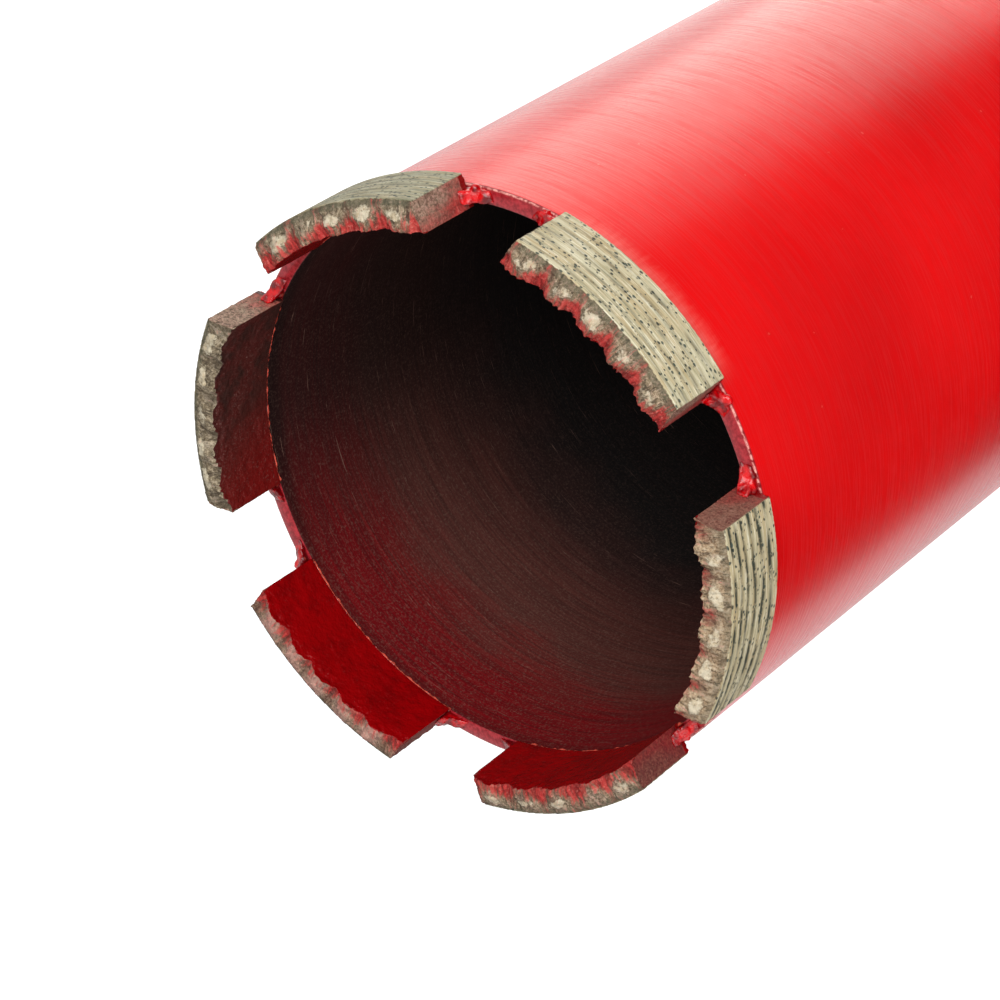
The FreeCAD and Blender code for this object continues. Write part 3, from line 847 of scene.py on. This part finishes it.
# For each segment: where its crests are along it in millimetres, then shares from 0 to 1:
# red on the crown, pink dust on it, how sandy its bond is, how bright its crests are, how
# deep the grooves outside are, how much painted shade darkens that face, dust inside, and
# burnt end faces.
LOOK_KEYS = ("crests", "red", "pink", "sandy", "bright", "grooves", "shade", "dust", "burnt")
SEGMENT_LOOKS = [dict(zip(LOOK_KEYS, row)) for row in (
    ((8.4, 3.7, -0.8, -5.0, -9.6), 0.75, 0.2, 0.3, 0.75, 0.45, 0.9, 0.3, 0.3),
    ((8.6, 4.6, 0.2, -4.6, -9.2), 0.05, 0.1, 0.25, 0.95, 0.7, 0.2, 1.0, 0.0),
    ((8.3, 4.1, -0.4, -4.3, -8.8), 0.55, 0.6, 0.35, 0.2, 0.6, 0.4, 0.1, 0.95),
    ((9.4, 5.2, -0.6, -5.2, -9.7), 0.8, 0.35, 0.35, 0.7, 0.6, 0.4, 0.15, 0.95),
    ((8.7, 4.1, -0.8, -5.2, -9.8), 0.3, 0.2, 0.8, 0.85, 1.0, 0.1, 0.5, 0.75),
    ((9.6, 4.9, 0.4, -4.2, -8.8), 0.95, 0.25, 0.4, 0.65, 0.4, 0.1, 0.3, 0.5),
)]

# Heights and distances in millimetres: the most that a point of the crown sinks, where the
# sinking begins above the foot and over what height it grows, and the grooves outside.
DEEPEST = 1.6
SINK_FROM, SINK_OVER = 5.5, 4.5
GROOVE_COUNT, FIRST_GROOVE, GROOVE_PITCH, GROOVE_WIDTH = 6, 1.35, 1.5, 0.3


def segment_blank(name):
    """A sector cut square at its ends, with its middle on the X axis and an even mesh."""
    s = bpy.context.scene.bit_segments
    top = s.foot + s.height
    sweep = math.radians(48)
    blank = drawn(name, [(s.inner_radius, s.foot), (s.outer_radius, s.foot),
                         (s.outer_radius, top), (s.inner_radius, top)])
    bpy.ops.mesh.select_all(action="SELECT")
    bpy.ops.transform.rotate(value=-sweep / 2, orient_axis="Z", center_override=(0, 0, 0))
    bpy.ops.mesh.spin(steps=40, angle=sweep, center=(0, 0, 0), axis=(0, 0, 1))
    bpy.ops.mesh.select_all(action="SELECT")
    bpy.ops.mesh.remove_doubles(threshold=1e-6)
    for side in (1, -1):
        cut_off((0, side * s.half_length, 0), (0, side, 0))
    close_shell()
    even_mesh(blank, s.voxel)
    return blank


def crown_ridges(look, draws, along, radius):
    """Shares of the ridges, which run out from the bore, and of the bright rubbed patch on each."""
    reach = bpy.context.scene.bit_segments.crown_pitch / MM / 2
    ridge = np.zeros(len(along))
    patch = np.zeros(len(along))
    for crest in look["crests"]:
        offset = along - crest - wander(draws, radius, 3.0, 0.25)
        tall = draws.uniform(0.85, 1.1)
        round_top = 0.5 * (1 + np.cos(np.pi * np.clip(offset / reach, -1, 1)))
        ridge = np.maximum(ridge, tall * round_top ** 0.6)
        lean = draws.uniform(-0.5, 0.5)
        middle = draws.uniform(34.4, 34.9)
        spot = np.hypot((offset - lean * (radius - middle)) / draws.uniform(1.4, 1.9),
                        (radius - middle) / draws.uniform(0.8, 1.3))
        spot /= 0.6 + 0.6 * look["bright"]
        patch = np.maximum(patch, (1 - step(0.3, 1.4, spot)) * draws.uniform(0.6, 1.0))
    return ridge, patch


def crown_drop(look, draws, along, radius, ridge, patch):
    """How far the crown lies below its crests: it dies away outwards and is fluted inside."""
    depth = bpy.context.scene.bit_segments.crown_depth / MM
    dome = 1 - step(33.5, 35.95, radius)
    edge_wear = 0.35 * step(35.7, 36.2, radius) + 0.12 * step(33.0, 32.7, radius)
    flutes = 0.5 - 0.5 * np.sin(along * math.tau / 1.1 + wander(draws, along, 3.0, 3.0))
    flutes *= 0.35 * min(1.0, 0.25 + look["bright"]) * (1 - step(33.0, 34.8, radius))
    pebbles = 0.35 * patch - 0.5 * patch * (1 - patch)
    return np.maximum(depth * (1 - ridge * dome) + edge_wear + flutes - pebbles, 0.0)


def mark_faces(segment, look, draws, at, ridge, patch):
    """Masks for the finish and vertex groups for the roughening, by where each face is."""
    radius = np.hypot(at[:, 0], at[:, 1])
    along, up = at[:, 1], at[:, 2] - bpy.context.scene.bit_segments.foot / MM
    facing = directions(segment)
    out = (facing[:, 0] * at[:, 0] + facing[:, 1] * at[:, 1]) / radius
    crown = step(0.55, 0.85, facing[:, 2])
    outer = step(0.6, 0.9, out) * (1 - crown)
    inner = step(0.6, 0.9, -out) * (1 - crown)
    ends = step(0.5, 0.8, np.abs(facing[:, 1])) * (1 - crown) * (1 - outer) * (1 - inner)
    low = 1 - step(0.4, 1.4, up + wander(draws, along, 5.0, 0.25))
    stain = np.clip(inner + 0.7 * low * ends, 0, 1)

    inward = 1 - step(33.0, 35.4, radius)
    crown_red = look["red"] * (0.5 + 0.6 * (1 - ridge)) * (0.3 + inward)
    end_red = 0.2 + 0.45 * look["red"] * inward + 0.3 * (1 - step(1.0, 7.0, up))
    red = np.where(ends > 0.3, end_red, crown_red)
    red = red * (1 - 0.6 * patch * look["bright"] * crown)
    pink = look["pink"] * (0.4 + 0.6 * ridge) * crown + 0.4 * ends
    # Hollows between the ridges, for the painted shade and the red paint that collects there.
    valley = step(0.45, 1.0, 1 - ridge) * (0.45 + 0.55 * inward)
    dust = look["dust"] * (1 - 0.45 * step(-4.0, 11.0, along - 0.6 * up))

    groove = np.zeros(len(at))
    for k in range(GROOVE_COUNT):
        line = FIRST_GROOVE + GROOVE_PITCH * k + wander(draws, along, 9.0, 0.14)
        cut = np.clip(0.65 + wander(draws, along, 6.0, 0.5), 0, 1)
        groove = np.maximum(groove, cut * np.exp(-((up - line) / GROOVE_WIDTH) ** 2))
    groove *= look["grooves"] * outer

    note_masks(segment, "face_masks", outer, crown, stain)
    note_masks(segment, "crown_masks", patch * crown * look["bright"], red, pink)
    note_masks(segment, "wear_masks", groove, dust, valley)
    note_masks(segment, "tone_masks", look["shade"], look["sandy"], look["burnt"] * ends)
    weigh(segment, "grooves", groove)
    weigh(segment, "crown", np.clip(crown + step(8.2, 9.4, up) * (1 - outer) * 0.5, 0, 1))
    weigh(segment, "ends", ends)
    weigh(segment, "inside", inner)


def roughen_faces(segment):
    """Filled grooves outside, lumps and grains on the crown and ends, waves inside."""
    push(segment, clouds("groove fill", 0.7 * MM), -0.22, "grooves", 0.0)
    push(segment, clouds("crown lumps", 1.0 * MM, 3), 0.7, "crown", 0.62)
    push(segment, clouds("crown grains", 0.3 * MM, 2, "HARD_NOISE"), 0.2, "crown", 0.6)
    push(segment, clouds("end grains", 0.4 * MM, 3), 0.22, "ends", 0.6)
    push(segment, clouds("inner waves", 1.6 * MM, 2), 0.14, "inside", 0.6)


def add_segment(number, look):
    """One segment: its blank, with the crown sculpted and every face roughened."""
    draws = np.random.default_rng(SEED + number)
    segment = segment_blank("cutting_segment_{}".format(number))
    at = places(segment)
    radius = np.hypot(at[:, 0], at[:, 1])
    along, up = at[:, 1], at[:, 2] - bpy.context.scene.bit_segments.foot / MM
    ridge, patch = crown_ridges(look, draws, along, radius)
    drop = crown_drop(look, draws, along, radius, ridge, patch)
    weigh(segment, "valleys", drop / DEEPEST * np.clip((up - SINK_FROM) / SINK_OVER, 0, 1))
    mark_faces(segment, look, draws, at, ridge, patch)

    # Turned to its place first, so that no two segments have the same lumps.
    segment.rotation_euler.z = math.radians(60 * (number - 1))
    bpy.context.view_layer.update()
    apply(segment, "DISPLACE", strength=-DEEPEST * MM, mid_level=0.0, vertex_group="valleys",
          direction="Z")
    roughen_faces(segment)
    fix_place(segment)
    segment.vertex_groups.clear()
    smooth(segment)
    dress(segment, once("diamond bond", bond_finish), "diamond_bond", "segment_{}".format(number))


# braze

BALLS_PER_END = 5


def add_braze(number):
    """The braze of one segment: its CAD form with lumps of filler run together."""
    half = bpy.context.scene.bit_segments.half_length / MM
    rim = bpy.context.scene.bit_barrel.rim / MM
    draws = np.random.default_rng(SEED * 3 + number)
    node = "braze_joint_{}".format(number)
    braze = cad_copy(node, "braze_fillet_{}".format(number))
    turn = math.radians(60 * (number - 1))
    balls = []
    for side in (1, -1):
        for _ in range(BALLS_PER_END):
            out = draws.uniform(0.0, 2.0)
            radius = draws.uniform(33.7, 34.9)
            size = draws.uniform(0.5, 0.72) - 0.08 * out
            angle = math.asin(side * (half + out) / radius) + turn
            height = rim + draws.uniform(0.0, 1.0) * (1 - 0.5 * out)
            balls.append(add_ball(size, (radius * math.cos(angle), radius * math.sin(angle),
                                         height), (1.0, 1.0, 1.0)))
    take(braze, *balls)
    bpy.ops.object.join()
    even_mesh(braze, bpy.context.scene.bit_braze.voxel)
    apply(braze, "SMOOTH", factor=0.5, iterations=9)
    push(braze, clouds("braze lumps", 0.9 * MM, 2), 0.55, "", 0.45)
    apply(braze, "SMOOTH", factor=0.5, iterations=2)
    smooth(braze)
    fix_place(braze)
    dress(braze, once("braze paint", braze_finish), "braze_paint", node)


# welds, back plate and hub

# A bead is a ring of ripples. In millimetres and degrees: the ring's radius and height, how
# many ripples go round, the size, stretch and lean of one, the detail and the waves on it.
RING_WELD = {"radius": 34.35, "height": 45.0, "ripples": 110, "size": 1.0,
             "stretch": (1.0, 1.35, 1.2), "lean": 0, "detail": 0.2, "waves": 0.16}
HUB_WELD = {"radius": 21.75, "height": 38.75, "ripples": 64, "size": 2.15,
            "stretch": (1.0, 0.62, 0.9), "lean": -45, "detail": 0.25, "waves": 0.2}

# Points of a rounded corner, as shares of its radius inwards and upwards from the corner.
CORNER_POINTS = ((1.0, 0.0), (0.7, 0.06), (0.06, 0.7), (0.0, 1.0))


def add_bead(name, weld):
    """A welded ring: one ripple, copied round the axis and run together."""
    bead = add_ball(weld["size"], (weld["radius"], 0, weld["height"]), weld["stretch"])
    bead.name = bead.data.name = name
    bead.rotation_euler = (0, math.radians(weld["lean"]), 0)
    fix_place(bead)
    edit(bead)
    bpy.ops.mesh.spin(steps=weld["ripples"], dupli=True, angle=math.tau, center=(0, 0, 0),
                      axis=(0, 0, 1))
    bpy.ops.object.mode_set(mode="OBJECT")
    even_mesh(bead, weld["detail"] * MM)
    apply(bead, "SMOOTH", factor=0.5, iterations=3)
    push(bead, clouds("weld waves", 1.1 * MM, 2), weld["waves"], "", 0.6)
    smooth(bead)
    return bead


def add_back_plate():
    """The plate that closes the tube, and the ring weld that holds it."""
    tube = bpy.context.scene.bit_barrel
    s = bpy.context.scene.bit_plate
    outer, seat, leg = tube.outer_radius, tube.foot, tube.groove_leg
    low, top, hole, edge = s.underside, s.spigot_end, s.hub_hole, s.hole_edge
    spigot, lead = tube.inner_radius - s.spigot_clearance, s.spigot_lead
    corner = [(outer - inwards * s.corner, low + upwards * s.corner)
              for inwards, upwards in CORNER_POINTS]
    outline = [(hole, low + edge), (hole + edge, low)] + corner + [
        (outer, seat - leg), (outer - leg, seat), (spigot, seat), (spigot, top - lead),
        (spigot - lead, top), (hole + edge, top), (hole, top - edge)]
    plate = turned("closing_plate", outline, s.facets)
    smooth(plate, 40)
    dress(plate, once("barrel paint", barrel_finish), "barrel_paint", "back_plate")

    bead = add_bead("tube_weld", RING_WELD)
    dress(bead, once("barrel paint", barrel_finish), "barrel_paint", "barrel_weld")


def thread_tap():
    """A tap: the outline of one thread, screwed up the axis and cut off square."""
    s = bpy.context.scene.bit_hub
    minor, pitch, root = s.thread_minor, s.thread_pitch, s.thread_major - s.root_flat
    start = -3 * pitch
    flank = ((minor, 0), (minor, 0.12), (root, 0.44), (root, 0.56), (minor, 0.88), (minor, 1))
    tap = drawn("tap", [(radius, start + share * pitch) for radius, share in flank],
                closed=False)
    bpy.ops.object.mode_set(mode="OBJECT")
    apply(tap, "SCREW", angle=math.tau, screw_offset=pitch, iterations=int(s.top / pitch) + 6,
          steps=72, render_steps=72, axis="Z")
    edit(tap)
    bpy.ops.mesh.remove_doubles(threshold=1e-6)
    for height, side in ((-3 * MM, -1), (s.top + 3 * MM, 1)):
        cut_off((0, 0, height), (0, 0, side))
    close_shell()
    return tap


def add_hub():
    """The threaded hub and the fillet weld round its root."""
    hub = cad_copy("hub", "spindle_hub")
    edit(hub)
    bpy.ops.mesh.dissolve_limited(angle_limit=math.radians(0.5))
    bpy.ops.object.mode_set(mode="OBJECT")
    apply(hub, "BEVEL", width=bpy.context.scene.bit_hub.edge, segments=2, limit_method="ANGLE",
          angle_limit=math.radians(28), harden_normals=False)
    tap = thread_tap()
    apply(hub, "BOOLEAN", object=tap, operation="DIFFERENCE", solver="EXACT")
    bpy.data.objects.remove(tap)
    smooth(hub, 32)
    dress(hub, once("hub paint", hub_finish), "hub_paint", "hub")

    bead = add_bead("hub_weld_bead", HUB_WELD)
    dress(bead, once("hub paint", hub_finish), "hub_paint", "hub_weld")


# stage

# Places and sizes on the stage are in millimetres, turns in degrees.
CAMERA_PLACE = (75.25, -248.78, 602.44)
CAMERA_TURN = (-29.56123, 36.19868, -116.64428)
CAMERA_LENS = 119.98
SENSOR_WIDTH = 36.0
LIT_POINT = (0, 0, 330)
KEY_PLACE, KEY_SIDE = (290, -400, 780), 460
FILL_PLACE, FILL_SIDE = (-520, -330, 620), 600

# Pale cards on the floor: direction from the bit, distance, width and share of the power.
PALE_CARDS = (("pale_card", 12, 300, 235, 1.0), ("back_card", 52, 268, 210, 0.16))
CARD_LENGTH, CARD_HEIGHT = 400, 6
CARD_COLOUR = (1.0, 0.96, 0.86)

# Corners of the dark card on the floor in front of the bit.
DARK_CARD = ((62, -45), (2576, -1430), (2576, -2900), (-2576, -2900), (-2576, 362), (-62, 5),
             (-45, -30), (0, -50))
DARK_CARD_HEIGHT = 3


def soft_box(name, place, target, size, power):
    """An area lamp aimed at a point; the camera doesn't see it."""
    settle()
    bpy.ops.object.light_add(type="AREA", location=[x * MM for x in place])
    lamp = bpy.context.object
    lamp.name = lamp.data.name = name
    aim = np.array(target, float) - np.array(place, float)
    pitch = math.atan2(math.hypot(aim[0], aim[1]), -aim[2])
    lamp.rotation_euler = (pitch, 0, math.atan2(aim[1], aim[0]) - math.pi / 2)
    lamp.data.shape = "RECTANGLE"
    lamp.data.size, lamp.data.size_y = [x * MM for x in size]
    lamp.data.energy = power
    lamp.visible_camera = False
    return lamp


def background_share(w):
    """1 for rays that see the background: from the camera, a reflection or through glass."""
    path = w.node("ShaderNodeLightPath").outputs
    seen = w.math("MAXIMUM", path["Is Camera Ray"], path["Is Glossy Ray"])
    return w.math("MAXIMUM", seen, path["Is Transmission Ray"])


def floor_finish(name):
    """A pale floor that keeps the bit's shadow and lifts what the camera sees to white."""
    s = bpy.context.scene.bit_stage
    material = bpy.data.materials.new(name)
    material.use_nodes = True
    material.node_tree.nodes.clear()
    w = Wiring(material.node_tree)
    cloud = w.noise(w.node("ShaderNodeTexCoord").outputs["Object"], 3.0, 2.0)
    path = w.node("ShaderNodeLightPath").outputs
    matt = w.node("ShaderNodeBsdfDiffuse",
                  {"Color": w.tint(s.floor, cloud, 0.1, linear(232, 232, 232))})
    reflected = w.times(background_share(w), 0.35)
    glow = w.node("ShaderNodeEmission", {
        "Color": (1, 1, 1), "Strength": w.blend(path["Is Camera Ray"], reflected, 0.7)})
    both = w.node("ShaderNodeAddShader", {0: matt.outputs[0], 1: glow.outputs[0]})
    w.node("ShaderNodeOutputMaterial", {"Surface": both.outputs[0]})
    return material


def dark_card_finish(name):
    """Matt black card."""
    material, w, shader = new_material(name)
    w.fill(shader, Base_Color=linear(12, 12, 12), Roughness=0.9, Specular_IOR_Level=0.0)
    return material


def add_floor():
    settle()
    bpy.ops.mesh.primitive_plane_add(size=8.0)
    floor = bpy.context.object
    floor.name = floor.data.name = "floor"
    floor.data.materials.append(once("plain floor", floor_finish))


def add_surroundings():
    """Plain surroundings, white where they are seen and dimmer as a light."""
    world = bpy.data.worlds.new("plain surroundings")
    bpy.context.scene.world = world
    world.use_nodes = True
    world.node_tree.nodes.clear()
    w = Wiring(world.node_tree)
    strength = w.blend(background_share(w), bpy.context.scene.bit_stage.ambient, 1.0)
    back = w.node("ShaderNodeBackground", {"Color": (1, 1, 1), "Strength": strength})
    w.node("ShaderNodeOutputWorld", {"Surface": back.outputs[0]})


def add_lights():
    """Two soft boxes, and pale cards that only the gloss of the paint reflects."""
    s = bpy.context.scene.bit_stage
    soft_box("key", KEY_PLACE, LIT_POINT, (KEY_SIDE, KEY_SIDE), s.key)
    soft_box("fill", FILL_PLACE, LIT_POINT, (FILL_SIDE, FILL_SIDE), s.fill)
    for name, turn, reach, width, share in PALE_CARDS:
        x = reach * math.cos(math.radians(turn))
        y = reach * math.sin(math.radians(turn))
        card = soft_box(name, (x, y, CARD_HEIGHT), (x, y, 500), (CARD_LENGTH, width),
                        share * s.card)
        card.rotation_euler.z = math.radians(turn)
        card.data.color = CARD_COLOUR
        card.visible_diffuse = False


def add_dark_card():
    """A dark card on the floor that only the gloss of the paint reflects."""
    card = drawn("dark_card", [(x * MM, -y * MM) for x, y in DARK_CARD])
    bpy.ops.mesh.edge_face_add()
    bpy.ops.object.mode_set(mode="OBJECT")
    card.rotation_euler.x = math.radians(90)
    card.location.z = DARK_CARD_HEIGHT * MM
    fix_place(card)
    card.data.materials.append(once("dark card", dark_card_finish))
    card.visible_camera = card.visible_diffuse = card.visible_shadow = False


def add_camera():
    """The camera, fitted to the photo."""
    settle()
    bpy.ops.object.camera_add(location=[x * MM for x in CAMERA_PLACE],
                              rotation=[math.radians(a) for a in CAMERA_TURN])
    camera = bpy.context.object
    camera.name = camera.data.name = "photo_camera"
    camera.data.sensor_width = SENSOR_WIDTH
    camera.data.lens = CAMERA_LENS
    camera.data.clip_start, camera.data.clip_end = 0.01, 30.0
    bpy.context.scene.camera = camera


def add_stage():
    """Floor, surroundings, soft boxes, cards and the camera."""
    add_floor()
    add_surroundings()
    add_lights()
    add_dark_card()
    add_camera()
    bpy.context.scene.view_settings.view_transform = "Standard"


# operators and panel

class BIT_OT_barrel(Operator):
    """Add the painted tube"""
    bl_idname = "core_bit.add_barrel"
    bl_label = "Barrel"

    def execute(self, context):
        add_barrel()
        return {"FINISHED"}


class BIT_OT_back_plate(Operator):
    """Add the plate that closes the tube, and its ring weld"""
    bl_idname = "core_bit.add_back_plate"
    bl_label = "Back plate"

    def execute(self, context):
        add_back_plate()
        return {"FINISHED"}


class BIT_OT_hub(Operator):
    """Add the threaded hub and its fillet weld"""
    bl_idname = "core_bit.add_hub"
    bl_label = "Hub"

    def execute(self, context):
        add_hub()
        return {"FINISHED"}


class BIT_OT_segments(Operator):
    """Add the diamond segments"""
    bl_idname = "core_bit.add_segments"
    bl_label = "Segments"

    def execute(self, context):
        for number, look in enumerate(SEGMENT_LOOKS, start=1):
            add_segment(number, look)
        return {"FINISHED"}


class BIT_OT_braze(Operator):
    """Add the braze under each segment"""
    bl_idname = "core_bit.add_braze"
    bl_label = "Braze"

    def execute(self, context):
        for number in range(1, len(SEGMENT_LOOKS) + 1):
            add_braze(number)
        return {"FINISHED"}


class BIT_OT_stage(Operator):
    """Add the floor, the lights and the camera"""
    bl_idname = "core_bit.add_stage"
    bl_label = "Stage"

    def execute(self, context):
        add_stage()
        return {"FINISHED"}


OPERATORS = (BIT_OT_barrel, BIT_OT_back_plate, BIT_OT_hub, BIT_OT_segments, BIT_OT_braze,
             BIT_OT_stage)
SETTINGS = {
    "bit_barrel": BarrelSettings,
    "bit_plate": PlateSettings,
    "bit_segments": SegmentSettings,
    "bit_braze": BrazeSettings,
    "bit_hub": HubSettings,
    "bit_stage": StageSettings,
}


class BIT_PT_panel(Panel):
    """Lists the pieces of the bit and their settings"""
    bl_label = "Core Bit"
    bl_idname = "BIT_PT_panel"
    bl_space_type = "VIEW_3D"
    bl_region_type = "UI"
    bl_category = "Core Bit"

    def draw(self, context):
        for operator in OPERATORS:
            self.layout.operator(operator.bl_idname, text=operator.bl_label)
        for name, kind in SETTINGS.items():
            box = self.layout.box()
            box.label(text=kind.__name__)
            for key in kind.__annotations__:
                box.prop(getattr(context.scene, name), key)


def register():
    for kind in list(SETTINGS.values()) + list(OPERATORS) + [BIT_PT_panel]:
        bpy.utils.register_class(kind)
    for name, kind in SETTINGS.items():
        setattr(bpy.types.Scene, name, PointerProperty(type=kind))


def unregister():
    for name in SETTINGS:
        delattr(bpy.types.Scene, name)
    for kind in [BIT_PT_panel] + list(OPERATORS) + list(SETTINGS.values()):
        bpy.utils.unregister_class(kind)


def main():
    register()
    bpy.ops.core_bit.add_stage()
    bpy.ops.core_bit.add_barrel()
    bpy.ops.core_bit.add_back_plate()
    bpy.ops.core_bit.add_hub()
    bpy.ops.core_bit.add_segments()
    bpy.ops.core_bit.add_braze()


if __name__ == "__main__":
    main()
